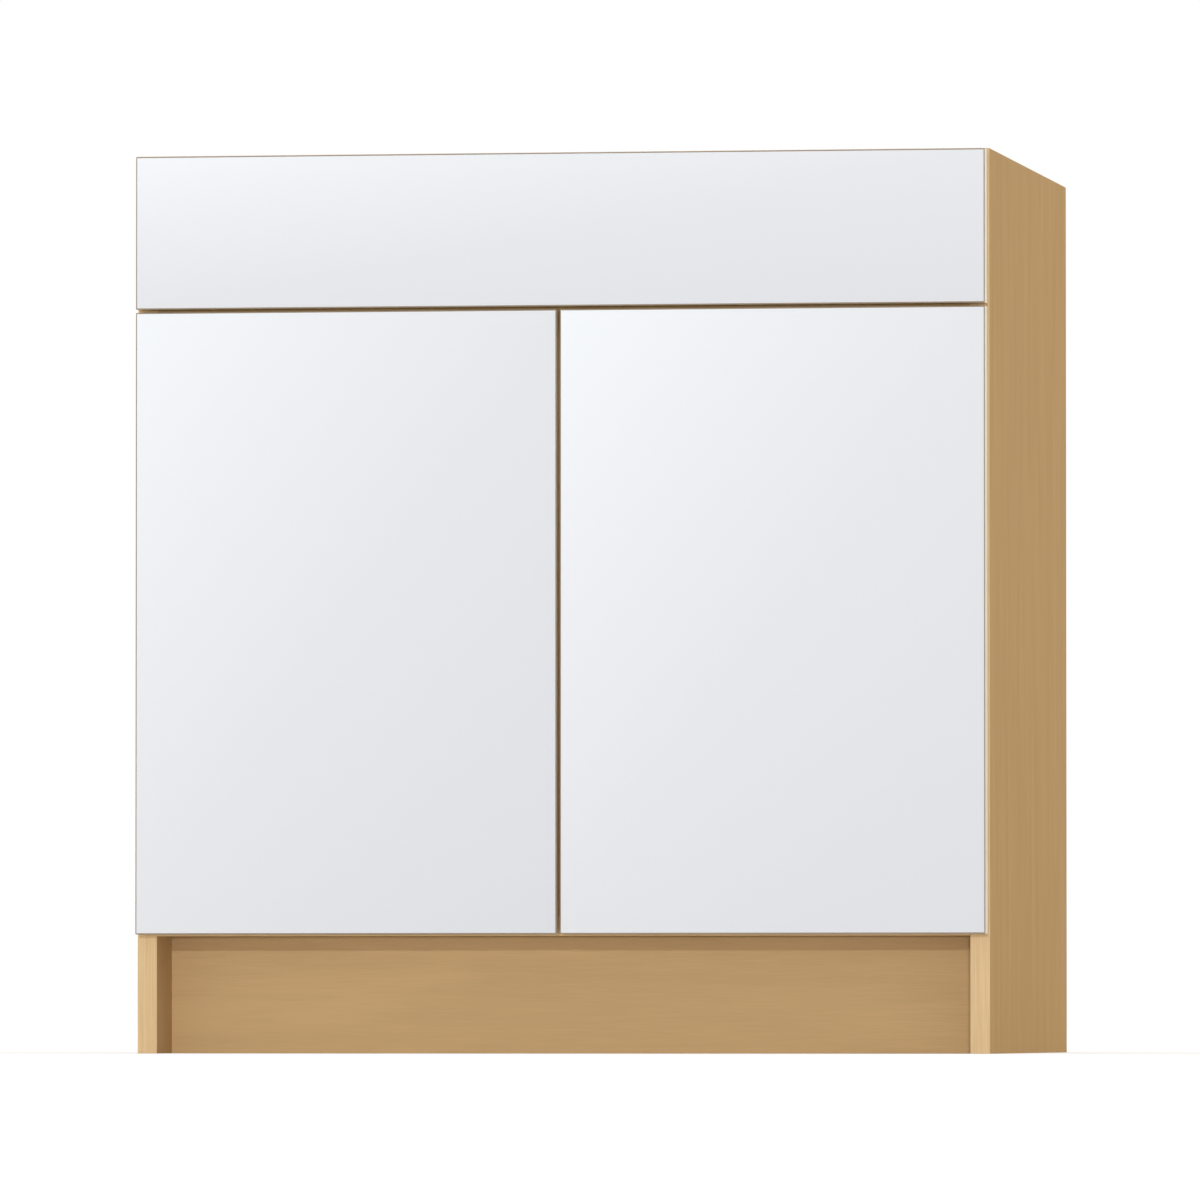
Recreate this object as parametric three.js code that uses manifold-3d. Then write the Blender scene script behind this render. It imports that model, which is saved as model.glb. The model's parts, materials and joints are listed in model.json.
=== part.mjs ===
// A frameless sink base cabinet: open top, one fixed false front, two doors on concealed hinges.
// Millimetres. X runs to the right, Y from the front to the wall, Z up.
// The origin is on the floor, at the middle of the whole cabinet with its doors shut.
import * as THREE from "three";
import { mergeVertices } from "three/addons/utils/BufferGeometryUtils.js";
import Module from "manifold-3d";

const wasm = await Module();
wasm.setup();

// Cabinet box
const cabinetWidth = 838.2;
const cabinetHeight = 876.3;
const boxDepth = 609.6;
const boardThickness = 19.05;
const backThickness = 6.35;
const bandThickness = 1;
const railHeight = 171.45;
const nailerHeight = 101.6;
const toeKickHeight = 114.3;
const toeKickRecess = 76.2;
const cleatWidth = 22;
const cleatInset = 10;
const grooveDepth = 9.5;

// Fronts
const frontThickness = 19.05;
const falseFrontHeight = 149.225;
const frontReveal = 1.5875;
const frontGap = 3.175;
const bumperGap = 2;
const bumperRadius = 5;
const bumperInset = 9;
const bumperFromCentre = 32;
const spacerInset = 45;

// Clearances
const glueLine = 0.1;
const boreClearance = 0.15;
const grooveClearance = 0.2;
const runningClearance = 0.15;
const depthClearance = 0.5;

// Dowels
const dowelRadius = 4;
const dowelReach = 12;
const dowelInset = 32;

// Corner braces
const braceLeg = 78;
const braceCorner = 16;
const braceSheet = 3.2;
const braceFlange = 24;
const braceDrop = 1.5;
const braceHoleRadius = 4.5;
const braceHoleAlong = 27;
const braceScrewSpacing = 36;
const braceScrewFromEnd = 16;
const woodScrewRadius = 1.8;
const woodScrewLength = 15;
const screwHeadRadius = 4;
const screwHeadHeight = 2.2;
const flatHeadHeight = 1.1;

// False front screws
const frontScrewRadius = 2.2;
const frontScrewGrip = 13;
const frontScrewInset = 150;
const frontScrewFromEdge = 34;

// Hinges: the two places on each door, and the mounting plate on the side panel
const hingeInset = 98.4;
const plateSetback = 37;
const plateScrewSpacing = 32;
const plateScrewRadius = 2.3;
const plateScrewReach = 12;
const plateSheet = 4.4;
const plateLength = 44;
const plateBodyWidth = 19;
const plateWingWidth = 14;
const plateWingEnd = 8;
const ridgeRise = 8;
const ridgeLength = 34;

// Hinge cup, let into the back of the door
const cupRadius = 17.5;
const cupWall = 0.7;
const cupDepth = 13.1;
const cupFloor = 0.8;
const cupFromPanel = 5.0375;
const flangeSheet = 1.2;
const flangeFarReach = 20;
const flangeNearReach = 9;
const flangeShoulder = 18.5;
const flangeHalfWidth = 29.4;
const cupScrewSpacing = 45;
const cupScrewOffset = 9.5;
const cupScrewRadius = 1.7;
const cupScrewReach = 10;
const cupScrewPad = 6.9;
const cupBoreClearance = 0.25;
const gateClearance = 2;

// Hinge pivots and bends, as [from the cup's centre into the cabinet, above the cup's floor].
// The inner link joins the arm's inner pivot to the cup's inner pivot, the outer link the other two.
const cupInnerPivot = [-11.83, 7.396];
const cupOuterPivot = [-8.82, 3.317];
const armInnerPivot = [11.856, 25.3];
const armOuterPivot = [12.713, 8.28];
const innerLinkBend = [-5.44, 4.927];
const outerLinkBends = [[-3.16, 1.4], [3.56, 2.2]];
const outerLinkOpenEnd = [13.03, 9.68];

// Hinge links and pins
const pinRadius = 1;
const pinHead = 0.45;
const eyeRadius = 2;
const innerLinkSheet = 2.4;
const innerLinkWidth = 8;
const outerLinkWidth = 11;
const cheekSheet = 1.2;
const cheekHeight = 2;
const webSheet = 0.8;
const webLength = 6;

// Hinge arm: a channel whose open side faces the side panel
const armWidth = 13.8;
const armSheet = 1.1;
const armCrown = 2.65;
const armStandOff = 1;
const armThroat = 2.4;
const armNoseRadius = 2.1;
const armWebStart = 2;
const armFootStart = 27;
const armTail = 27;
const armScrewSteps = [-8, 10];
const armScrewRadius = 2;
const armScrewHeadRadius = 3.6;
const armScrewHeadHeight = 1;

// How finely the round shapes are cut, and how far a cutting tool runs past a face
const cupSides = 36;
const holeSides = 16;
const pinSides = 8;
const past = 1;

// Places worked out from the sizes above
const halfWidth = cabinetWidth / 2;
const innerX = halfWidth - boardThickness;
const wholeDepth = boxDepth + bumperGap + frontThickness;
const boxFront = wholeDepth / 2 - boxDepth;
const boxBack = wholeDepth / 2;
const doorBack = boxFront - bumperGap;
const doorFront = doorBack - frontThickness;
const coreFront = boxFront + bandThickness + glueLine;
const nailerFront = boxBack - boardThickness;
const backPanelBack = nailerFront - glueLine;
const backPanelFront = backPanelBack - backThickness;
const deckTop = toeKickHeight + boardThickness;
const underDeck = toeKickHeight - glueLine;
const toeBoardFront = boxFront + toeKickRecess;
const toeBoardBack = toeBoardFront + boardThickness;
const falseFrontTop = cabinetHeight - frontReveal;
const falseFrontBottom = falseFrontTop - falseFrontHeight;
const doorTop = falseFrontBottom - frontGap;
const doorBottom = toeKickHeight + frontReveal;
const frontEdgeX = halfWidth - frontReveal;
const railBottom = cabinetHeight - railHeight;
const hingeHeights = { upper: doorTop - hingeInset, lower: doorBottom + hingeInset };
const sides = { left: -1, right: 1 };

// Colour, roughness and metalness of each finish
const finishes = {
  panel: ["#b59469", 0.62, 0],
  edgeBand: ["#dab98e", 0.55, 0],
  front: ["#e7e9ec", 0.22, 0],
  frontBand: ["#bcb6b4", 0.35, 0],
  nickel: ["#c3c4c2", 0.32, 1],
  zinc: ["#a9abac", 0.4, 1],
  clear: ["#dfe3e4", 0.25, 0],
  brace: ["#e4e1da", 0.5, 0],
};

function material(finish) {
  const [color, roughness, metalness] = finishes[finish];
  return new THREE.MeshStandardMaterial({ color, roughness, metalness });
}

// A closed three.js geometry as a solid for cutting and joining
function toSolid(geometry) {
  const bare = geometry.clone();
  bare.deleteAttribute("normal");
  bare.deleteAttribute("uv");
  const merged = mergeVertices(bare, 1e-4);
  const vertProperties = merged.attributes.position.array;
  const triVerts = new Uint32Array(merged.index.array);
  return new wasm.Manifold(new wasm.Mesh({ numProp: 3, vertProperties, triVerts }));
}

function toGeometry(solid) {
  const { vertProperties, triVerts } = solid.getMesh();
  const indexed = new THREE.BufferGeometry();
  indexed.setAttribute("position", new THREE.BufferAttribute(vertProperties, 3));
  indexed.setIndex(new THREE.BufferAttribute(triVerts, 1));
  const flat = indexed.toNonIndexed();
  flat.computeVertexNormals();
  return flat;
}

// A box between its lowest and highest corner
function block(low, high) {
  const size = high.map((value, i) => value - low[i]);
  const geometry = new THREE.BoxGeometry(...size);
  geometry.translate(...high.map((value, i) => (value + low[i]) / 2));
  return toSolid(geometry);
}

// A straight round bar between two points
function rod(from, to, radius, count = pinSides) {
  const start = new THREE.Vector3(...from);
  const along = new THREE.Vector3(...to).sub(start);
  const geometry = new THREE.CylinderGeometry(radius, radius, along.length(), count);
  geometry.translate(0, along.length() / 2, 0);
  const up = new THREE.Vector3(0, 1, 0);
  const turn = new THREE.Quaternion().setFromUnitVectors(up, along.clone().normalize());
  geometry.applyQuaternion(turn);
  geometry.translate(...from);
  return toSolid(geometry);
}

function extrude(outline, depth) {
  const shape = new THREE.Shape(outline.map(([a, b]) => new THREE.Vector2(a, b)));
  return new THREE.ExtrudeGeometry(shape, { depth, bevelEnabled: false });
}

// A plate cut to an outline in X and Y, from one height to another
function slab(outline, low, high) {
  return toSolid(extrude(outline, high - low).translate(0, 0, low));
}

// An upright plate cut to an outline in X and Z, from one Y to another
function upright(outline, front, back) {
  return toSolid(extrude(outline, back - front).rotateX(Math.PI / 2).translate(0, back, 0));
}

function join(solids) {
  return solids.reduce((whole, next) => whole.add(next));
}

function cut(solid, tools) {
  return tools.reduce((rest, tool) => rest.subtract(tool), solid);
}

// One named piece in its group. The solid is drawn around the piece's own middle.
function piece(group, name, finish, solid, middle) {
  const away = middle.map((value) => -value);
  const mesh = new THREE.Mesh(toGeometry(solid.translate(away)), material(finish));
  mesh.name = name;
  mesh.position.set(...middle);
  group.add(mesh);
}

function board(group, name, finish, low, high, { extras = [], cuts = [] } = {}) {
  const middle = high.map((value, i) => (value + low[i]) / 2);
  piece(group, name, finish, cut(join([block(low, high), ...extras]), cuts), middle);
}

// Dowels stand out of both ends of a board. Each place is a [y, z] on the board's end.
function dowels(places) {
  const reach = innerX + dowelReach;
  return places.map(([y, z]) => rod([-reach, y, z], [reach, y, z], dowelRadius));
}

// A screw that runs from its head's underside at a point, along a unit direction
function screw(at, direction, length, radius, headRadius, headHeight) {
  const tip = at.map((value, i) => value + direction[i] * length);
  const top = at.map((value, i) => value - direction[i] * headHeight);
  const sunk = at.map((value, i) => value + direction[i] * glueLine);
  return join([rod(at, tip, radius), rod(top, sunk, headRadius)]);
}

// Where each board's dowels enter the side panels
function spread(low, high) {
  return [low + dowelInset, high - dowelInset];
}

const deckMiddle = toeKickHeight + boardThickness / 2;
const deckDowels = [...spread(coreFront, backPanelFront), (coreFront + backPanelFront) / 2]
  .map((y) => [y, deckMiddle]);
const railDowels = spread(railBottom, cabinetHeight)
  .map((z) => [boxFront + boardThickness / 2, z]);
const nailerY = nailerFront + boardThickness / 2;
const topNailerDowels = spread(cabinetHeight - nailerHeight, cabinetHeight)
  .map((z) => [nailerY, z]);
const bottomNailerDowels = spread(toeKickHeight, toeKickHeight + nailerHeight)
  .map((z) => [nailerY, z]);
const toeBoardDowels = spread(0, underDeck)
  .map((z) => [toeBoardFront + boardThickness / 2, z]);
const sleeperY = backPanelFront - boardThickness / 2;
const sleeperDowels = spread(0, underDeck).map((z) => [sleeperY, z]);
const allDowels = [
  ...deckDowels,
  ...railDowels,
  ...topNailerDowels,
  ...bottomNailerDowels,
  ...toeBoardDowels,
  ...sleeperDowels,
];

// Corner braces: heights, and the two screws in each flange measured from the corner
const braceTop = cabinetHeight - braceDrop;
const braceScrewZ = braceTop - braceFlange / 2;
const braceScrewAlong = [braceLeg - braceScrewFromEnd, braceLeg - braceScrewFromEnd - braceScrewSpacing];
const braceFront = boxFront + boardThickness + glueLine;
const braceRear = backPanelFront - glueLine;
const braceSideX = innerX - glueLine;
const braceCorners = {
  front: { y: braceFront, into: 1 },
  rear: { y: braceRear, into: -1 },
};

// False front screws, as [x, z]
const frontScrewPlaces = [
  [-halfWidth + frontScrewInset, falseFrontTop - frontScrewFromEdge],
  [halfWidth - frontScrewInset, falseFrontTop - frontScrewFromEdge],
  [-halfWidth + frontScrewInset, falseFrontBottom + frontScrewFromEdge],
  [halfWidth - frontScrewInset, falseFrontBottom + frontScrewFromEdge],
];

const cabinet = new THREE.Group();
const carcass = new THREE.Group();
cabinet.add(carcass);

function sidePanel(side, sign) {
  const inner = sign * innerX;
  const outer = sign * halfWidth;
  const lowX = Math.min(inner, outer);
  const highX = Math.max(inner, outer);
  const reach = dowelReach + depthClearance;
  const dowelBores = allDowels.map(([y, z]) =>
    rod([inner - sign * past, y, z], [inner + sign * reach, y, z], dowelRadius + boreClearance));
  const grooveLow = toeKickHeight - grooveClearance;
  const groove = block(
    [Math.min(inner - sign * past, inner + sign * grooveDepth), backPanelFront - grooveClearance, grooveLow],
    [Math.max(inner - sign * past, inner + sign * grooveDepth), backPanelBack + grooveClearance,
      cabinetHeight + past],
  );
  const plateBores = Object.values(hingeHeights).flatMap((height) =>
    [-0.5, 0.5].map((step) => {
      const z = height + step * plateScrewSpacing;
      const y = boxFront + plateSetback;
      const depth = plateScrewReach + depthClearance;
      return rod([inner - sign * past, y, z], [inner + sign * depth, y, z], plateScrewRadius + boreClearance);
    }));
  const braceBores = Object.values(braceCorners).flatMap(({ y, into }) =>
    braceScrewAlong.map((along) => {
      const depth = woodScrewLength + depthClearance;
      const place = [y + into * along, braceScrewZ];
      return rod([inner - sign * past, ...place], [inner + sign * depth, ...place],
        woodScrewRadius + boreClearance);
    }));
  board(carcass, `${side}_side_panel`, "panel", [lowX, coreFront, 0], [highX, boxBack, cabinetHeight], {
    cuts: [...dowelBores, groove, ...plateBores, ...braceBores],
  });
  board(carcass, `${side}_side_edge_band`, "edgeBand", [lowX, boxFront, 0],
    [highX, boxFront + bandThickness, cabinetHeight]);
}

// Holes for the brace screws that run back or forward into a rail, a nailer or the back panel
function braceBoresAlongY(sign, { y, into }) {
  const depth = woodScrewLength + depthClearance;
  return braceScrewAlong.map((along) => {
    const x = sign * (braceSideX - along);
    return rod([x, y + into * past, braceScrewZ], [x, y - into * depth, braceScrewZ],
      woodScrewRadius + boreClearance);
  });
}

const frontBraceBores = Object.values(sides).flatMap((sign) => braceBoresAlongY(sign, braceCorners.front));
const rearBraceBores = Object.values(sides).flatMap((sign) => braceBoresAlongY(sign, braceCorners.rear));
const endX = innerX - glueLine;

function boxBoards() {
  for (const [side, sign] of Object.entries(sides)) sidePanel(side, sign);
  board(carcass, "bottom_panel", "panel", [-endX, coreFront, toeKickHeight],
    [endX, backPanelFront - glueLine, deckTop], { extras: dowels(deckDowels) });
  board(carcass, "bottom_panel_edge_band", "edgeBand", [-endX, boxFront, toeKickHeight],
    [endX, boxFront + bandThickness, deckTop]);
  const grooveReach = innerX + grooveDepth - depthClearance;
  board(carcass, "back_panel", "panel", [-grooveReach, backPanelFront, toeKickHeight],
    [grooveReach, backPanelBack, cabinetHeight], { cuts: rearBraceBores });
  const screwBores = frontScrewPlaces.map(([x, z]) =>
    rod([x, boxFront - past, z], [x, boxFront + boardThickness + past, z], frontScrewRadius + boreClearance));
  board(carcass, "sink_rail", "panel", [-endX, boxFront, railBottom + bandThickness + glueLine],
    [endX, boxFront + boardThickness, cabinetHeight], {
      extras: dowels(railDowels),
      cuts: [...frontBraceBores, ...screwBores],
    });
  board(carcass, "sink_rail_edge_band", "edgeBand", [-endX, boxFront, railBottom],
    [endX, boxFront + boardThickness, railBottom + bandThickness]);
  board(carcass, "rear_top_nailer", "panel", [-endX, nailerFront, cabinetHeight - nailerHeight],
    [endX, boxBack, cabinetHeight], { extras: dowels(topNailerDowels), cuts: rearBraceBores });
  board(carcass, "rear_bottom_nailer", "panel", [-endX, nailerFront, toeKickHeight],
    [endX, boxBack, toeKickHeight + nailerHeight], { extras: dowels(bottomNailerDowels) });
  board(carcass, "toe_kick_board", "panel", [-endX, toeBoardFront, 0],
    [endX, toeBoardBack, underDeck], { extras: dowels(toeBoardDowels) });
  board(carcass, "rear_sleeper", "panel", [-endX, sleeperY - boardThickness / 2, 0],
    [endX, sleeperY + boardThickness / 2, underDeck], { extras: dowels(sleeperDowels) });
}

function toeKickCleats() {
  for (const [side, sign] of Object.entries(sides)) {
    const near = sign * endX;
    const far = sign * (endX - cleatWidth);
    const start = toeBoardBack + glueLine;
    board(carcass, `${side}_toe_kick_cleat`, "panel", [Math.min(near, far), start, cleatInset],
      [Math.max(near, far), start + cleatWidth, underDeck - cleatInset]);
  }
}

// A gusset: a flat web at the top, a flange down each of its two legs, and its own four screws
function cornerBrace(side, sign, end, { y, into }) {
  const outline = [
    [0, 0],
    [braceLeg, 0],
    [braceLeg, braceCorner],
    [braceCorner, braceLeg],
    [0, braceLeg],
  ];
  const atX = (along) => sign * (braceSideX - along);
  const atY = (along) => y + into * along;
  const placed = ([a, b]) => [atX(a), atY(b)];
  const low = braceTop - braceFlange;
  const web = slab(outline.map(placed), braceTop - braceSheet, braceTop);
  const flangeAlongX = [[0, 0], [braceLeg, 0], [braceLeg, braceSheet], [0, braceSheet]];
  const flangeAlongY = flangeAlongX.map(([a, b]) => [b, a]);
  const screws = braceScrewAlong.flatMap((along) => [
    screw([atX(braceSheet), atY(along), braceScrewZ], [sign, 0, 0],
      woodScrewLength + braceSheet, woodScrewRadius, screwHeadRadius, screwHeadHeight),
    screw([atX(along), atY(braceSheet), braceScrewZ], [0, -into, 0],
      woodScrewLength + braceSheet, woodScrewRadius, screwHeadRadius, screwHeadHeight),
  ]);
  const holeAt = placed([braceHoleAlong, braceHoleAlong]);
  const hole = rod([...holeAt, braceTop - braceSheet - past], [...holeAt, braceTop + past],
    braceHoleRadius, holeSides);
  const solid = cut(join([
    web,
    slab(flangeAlongX.map(placed), low, braceTop),
    slab(flangeAlongY.map(placed), low, braceTop),
    ...screws,
  ]), [hole]);
  piece(carcass, `${side}_${end}_corner_brace`, "brace", solid, [atX(0), atY(0), braceTop]);
}

// A slab front: a core with an edge band all round it
function slabFront(group, name, lowX, highX, lowZ, highZ, cuts) {
  const skin = bandThickness + glueLine;
  board(group, `${name}_panel`, "front", [lowX + skin, doorFront, lowZ + skin],
    [highX - skin, doorBack, highZ - skin], { cuts });
  const hollow = block([lowX + bandThickness, doorFront - past, lowZ + bandThickness],
    [highX - bandThickness, doorBack + past, highZ - bandThickness]);
  board(group, `${name}_edge_band`, "frontBand", [lowX, doorFront, lowZ], [highX, doorBack, highZ],
    { cuts: [hollow] });
}

function bumper(group, name, x, z) {
  const solid = rod([x, doorBack + glueLine, z], [x, boxFront - glueLine, z], bumperRadius, holeSides);
  piece(group, name, "clear", solid, [x, doorBack, z]);
}

function falseFront() {
  const group = new THREE.Group();
  cabinet.add(group);
  const bores = frontScrewPlaces.map(([x, z]) =>
    rod([x, doorBack + past, z], [x, doorBack - frontScrewGrip - depthClearance, z],
      frontScrewRadius + boreClearance));
  slabFront(group, "false_front", -frontEdgeX, frontEdgeX, falseFrontBottom, falseFrontTop, bores);
  const railBack = boxFront + boardThickness;
  frontScrewPlaces.forEach(([x, z], i) => {
    const length = boardThickness + bumperGap + frontScrewGrip;
    const solid = screw([x, railBack + glueLine, z], [0, -1, 0], length, frontScrewRadius,
      screwHeadRadius, screwHeadHeight);
    piece(group, `false_front_screw_${i + 1}`, "zinc", solid, [x, railBack, z]);
  });
  const heights = { upper: falseFrontTop - bumperInset, lower: falseFrontBottom + bumperInset };
  for (const [side, sign] of Object.entries(sides)) {
    for (const [level, z] of Object.entries(heights)) {
      bumper(group, `false_front_${level}_${side}_bumper`, sign * (innerX - spacerInset), z);
    }
  }
}

// Hinge points are drawn as u from the side panel's inner face into the cabinet, v from the box
// front towards the wall, and z from the hinge's middle. The right hinges mirror the left ones.
function fromCup([across, rise]) {
  return [cupFromPanel + across, rise + cupFloor - cupDepth - bumperGap];
}

const pivots = {
  armInner: fromCup(armInnerPivot),
  armOuter: fromCup(armOuterPivot),
  cupInner: fromCup(cupInnerPivot),
  cupOuter: fromCup(cupOuterPivot),
};
const armTop = pivots.armOuter[0] + armCrown;
const armEnd = plateSetback + armTail;
const armScrewPlaces = armScrewSteps.map((step) => plateSetback + step);
const ridgeTop = plateSheet + ridgeRise;

function arc([x, y], radius, from, to, steps) {
  return Array.from({ length: steps + 1 }, (_, i) => {
    const angle = THREE.MathUtils.degToRad(from + ((to - from) * i) / steps);
    return [x + radius * Math.cos(angle), y + radius * Math.sin(angle)];
  });
}

// Drawing in a hinge's own frame
function hingePen(sign) {
  const at = (u, v, z) => [-sign * u, v, z];
  const bar = (from, to, radius, count) => rod(at(...from), at(...to), radius, count);
  const disc = ([u, v], radius, low, high) => bar([u, v, low], [u, v, high], radius);
  const brick = ([u0, v0, z0], [u1, v1, z1]) =>
    block([Math.min(-sign * u0, -sign * u1), v0, z0], [Math.max(-sign * u0, -sign * u1), v1, z1]);
  const sheet = (outline, low, high) => slab(outline.map(([u, v]) => [-sign * u, v]), low, high);
  const strip = (from, to, near, far, low, high) => {
    const length = Math.hypot(to[0] - from[0], to[1] - from[1]);
    const across = [(from[1] - to[1]) / length, (to[0] - from[0]) / length];
    const corner = ([u, v], off) => [u + across[0] * off, v + across[1] * off];
    return sheet([corner(from, near), corner(to, near), corner(to, far), corner(from, far)], low, high);
  };
  // a strap of one thickness bent along a path, round at its bends
  const strap = (path, thickness, low, high) => join([
    ...path.slice(1).map((to, i) => strip(path[i], to, -thickness / 2, thickness / 2, low, high)),
    ...path.slice(1, -1).map((bend) => disc(bend, thickness / 2, low, high)),
  ]);
  const pinHole = (place) => disc(place, pinRadius + runningClearance, -armWidth, armWidth);
  return { at, bar, disc, brick, sheet, strip, strap, pinHole };
}

// A cross-shaped plate with a ridge that the arm straddles, and its two screws
function hingePlate(sign) {
  const { at, bar, brick } = hingePen(sign);
  const slice = (length, halfWidth, top) => brick([glueLine, plateSetback - length / 2, -halfWidth],
    [top, plateSetback + length / 2, halfWidth]);
  const screws = [-0.5, 0.5].map((step) =>
    screw(at(plateSheet, plateSetback, step * plateScrewSpacing), [sign, 0, 0],
      plateSheet + plateScrewReach, plateScrewRadius, screwHeadRadius, flatHeadHeight));
  const pockets = armScrewPlaces.map((v) =>
    bar([plateSheet, v, 0], [ridgeTop + past, v, 0], armScrewRadius + boreClearance));
  return cut(join([
    slice(plateLength, plateBodyWidth / 2, plateSheet),
    slice(plateWingWidth, plateScrewSpacing / 2 + plateWingEnd, plateSheet),
    slice(ridgeLength, armWidth / 2 - armSheet - runningClearance, ridgeTop),
    ...screws,
  ]), pockets);
}

// Two walls, a web over them, the pin of the inner link, the rivets at the nose and two screws
function hingeArm(sign) {
  const { at, disc, brick, sheet } = hingePen(sign);
  const [innerU, innerV] = pivots.armInner;
  const [outerU, outerV] = pivots.armOuter;
  const armFoot = plateSheet + armStandOff;
  const outline = [
    ...arc([outerU, outerV], armNoseRadius, 180, 360, 4),
    [armTop, armWebStart],
    [armTop, armEnd],
    [armFoot, armEnd],
    [armFoot, armFootStart],
    [innerU - armThroat, innerV + armThroat / 2],
    [innerU - armThroat, innerV - armThroat / 2],
  ];
  const outside = armWidth / 2;
  const inside = outside - armSheet;
  return join([
    sheet(outline, -outside, -inside),
    sheet(outline, inside, outside),
    brick([armTop - armSheet, armWebStart, -outside], [armTop, armEnd, outside]),
    disc(pivots.armInner, pinRadius, -outside - pinHead, outside + pinHead),
    disc(pivots.armOuter, pinRadius, -outside - pinHead, -inside),
    disc(pivots.armOuter, pinRadius, inside, outside + pinHead),
    ...armScrewPlaces.map((v) => screw(at(armTop, v, 0), [sign, 0, 0], armTop - plateSheet - depthClearance,
      armScrewRadius, armScrewHeadRadius, armScrewHeadHeight)),
  ]);
}

// One bent strap with an eye at each end
function innerLink(sign) {
  const { disc, strap, pinHole } = hingePen(sign);
  const half = innerLinkWidth / 2;
  const ends = [pivots.armInner, pivots.cupInner];
  return cut(join([
    strap([ends[0], fromCup(innerLinkBend), ends[1]], innerLinkSheet, -half, half),
    ...ends.map((end) => disc(end, eyeRadius, -half, half)),
  ]), ends.map(pinHole));
}

// Two bent cheeks with a web between them. It turns on the cup's pin, and its other end is open:
// it lies between the arm's walls at the nose, where the real link is riveted.
function outerLink(sign) {
  const { disc, strip, strap, pinHole } = hingePen(sign);
  const half = outerLinkWidth / 2;
  const openEnd = fromCup(outerLinkOpenEnd);
  const bends = outerLinkBends.map(fromCup);
  const lastBend = bends.at(-1);
  const lastRun = Math.hypot(openEnd[0] - lastBend[0], openEnd[1] - lastBend[1]);
  const webEnd = openEnd.map((value, i) => value + ((lastBend[i] - value) * webLength) / lastRun);
  const cheek = (low, high) => join([
    strap([pivots.cupOuter, ...bends, openEnd], cheekHeight, low, high),
    disc(openEnd, cheekHeight / 2, low, high),
    disc(pivots.cupOuter, eyeRadius, low, high),
  ]);
  return cut(join([
    cheek(-half, -half + cheekSheet),
    cheek(half - cheekSheet, half),
    strip(openEnd, webEnd, cheekHeight / 2 - webSheet, cheekHeight / 2, -half, half),
  ]), [pinHole(pivots.cupOuter)]);
}

// A round bowl with a flange on the back of the door, open towards the door's edge for the arm,
// both pins across the bowl, and its two screws
function hingeCup(sign) {
  const { at, bar, disc, brick } = hingePen(sign);
  const [cu, cv] = [cupFromPanel, -bumperGap];
  const flangeTop = cv + flangeSheet;
  const halfOutline = [
    [cu - flangeNearReach, flangeShoulder],
    [cu + cupScrewOffset - cupScrewPad, flangeHalfWidth],
    [cu + cupScrewOffset + cupScrewPad, flangeHalfWidth],
    [cu + flangeFarReach, flangeShoulder],
  ];
  const otherHalf = halfOutline.map(([u, z]) => [u, -z]).reverse();
  const outline = [...halfOutline, ...otherHalf].map(([u, z]) => [-sign * u, z]);
  const along = (from, to, radius) => bar([cu, from, 0], [cu, to, 0], radius, cupSides);
  const shell = along(flangeTop, cv - cupDepth, cupRadius);
  const bowl = along(flangeTop + past, cv - cupDepth + cupFloor, cupRadius - cupWall);
  const gateHalf = armWidth / 2 + gateClearance;
  const gate = brick([cu - cupRadius - past, cv, -gateHalf], [cu, flangeTop + past, gateHalf]);
  const middleOfWall = along(cv, cv - cupDepth, cupRadius - cupWall / 2);
  const pins = [pivots.cupInner, pivots.cupOuter].map((place) =>
    disc(place, pinRadius, -cupRadius, cupRadius).intersect(middleOfWall));
  const screws = [-0.5, 0.5].map((step) =>
    screw(at(cu + cupScrewOffset, flangeTop, step * cupScrewSpacing), [0, -1, 0],
      flangeSheet + cupScrewReach, cupScrewRadius, screwHeadRadius, flatHeadHeight));
  const flange = upright(outline, cv + glueLine, flangeTop);
  return join([cut(join([flange, shell]), [bowl, gate]), ...pins, ...screws]);
}

// The hinge of one door at one height: its cup goes with the door, the rest with the cabinet
function hinge(side, sign, level, height, doorGroup) {
  const name = `${side}_${level}_hinge`;
  const { at } = hingePen(sign);
  const fixed = new THREE.Group();
  fixed.position.set(sign * innerX, boxFront, height);
  cabinet.add(fixed);
  piece(fixed, `${name}_plate`, "nickel", hingePlate(sign), at(0, plateSetback, 0));
  piece(fixed, `${name}_arm`, "nickel", hingeArm(sign), at(armTop, plateSetback, 0));
  piece(fixed, `${name}_inner_link`, "nickel", innerLink(sign), at(...pivots.armInner, 0));
  piece(fixed, `${name}_outer_link`, "nickel", outerLink(sign), at(...pivots.cupOuter, 0));
  const moving = new THREE.Group();
  moving.position.copy(fixed.position);
  doorGroup.add(moving);
  piece(moving, `${name}_cup`, "nickel", hingeCup(sign), at(cupFromPanel, -bumperGap, 0));
}

// Holes in the back of a door for its two hinge cups and their screws
function cupBores(sign) {
  const x = sign * (innerX - cupFromPanel);
  const screwX = x - sign * cupScrewOffset;
  return Object.values(hingeHeights).flatMap((height) => [
    rod([x, doorBack + past, height], [x, doorBack - cupDepth - cupBoreClearance, height],
      cupRadius + cupBoreClearance, cupSides),
    ...[-0.5, 0.5].map((step) => {
      const z = height + step * cupScrewSpacing;
      const depth = cupScrewReach + depthClearance;
      return rod([screwX, doorBack + past, z], [screwX, doorBack - depth, z], cupScrewRadius + boreClearance);
    }),
  ]);
}

function door(side, sign) {
  const group = new THREE.Group();
  cabinet.add(group);
  const edges = [sign * frontEdgeX, (sign * frontGap) / 2];
  slabFront(group, `${side}_door`, Math.min(...edges), Math.max(...edges), doorBottom, doorTop,
    cupBores(sign));
  for (const [level, height] of Object.entries(hingeHeights)) hinge(side, sign, level, height, group);
  const heights = { upper: doorTop - bumperInset, lower: doorBottom + bumperInset };
  for (const [level, z] of Object.entries(heights)) {
    bumper(group, `${side}_door_${level}_bumper`, sign * bumperFromCentre, z);
  }
}

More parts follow.
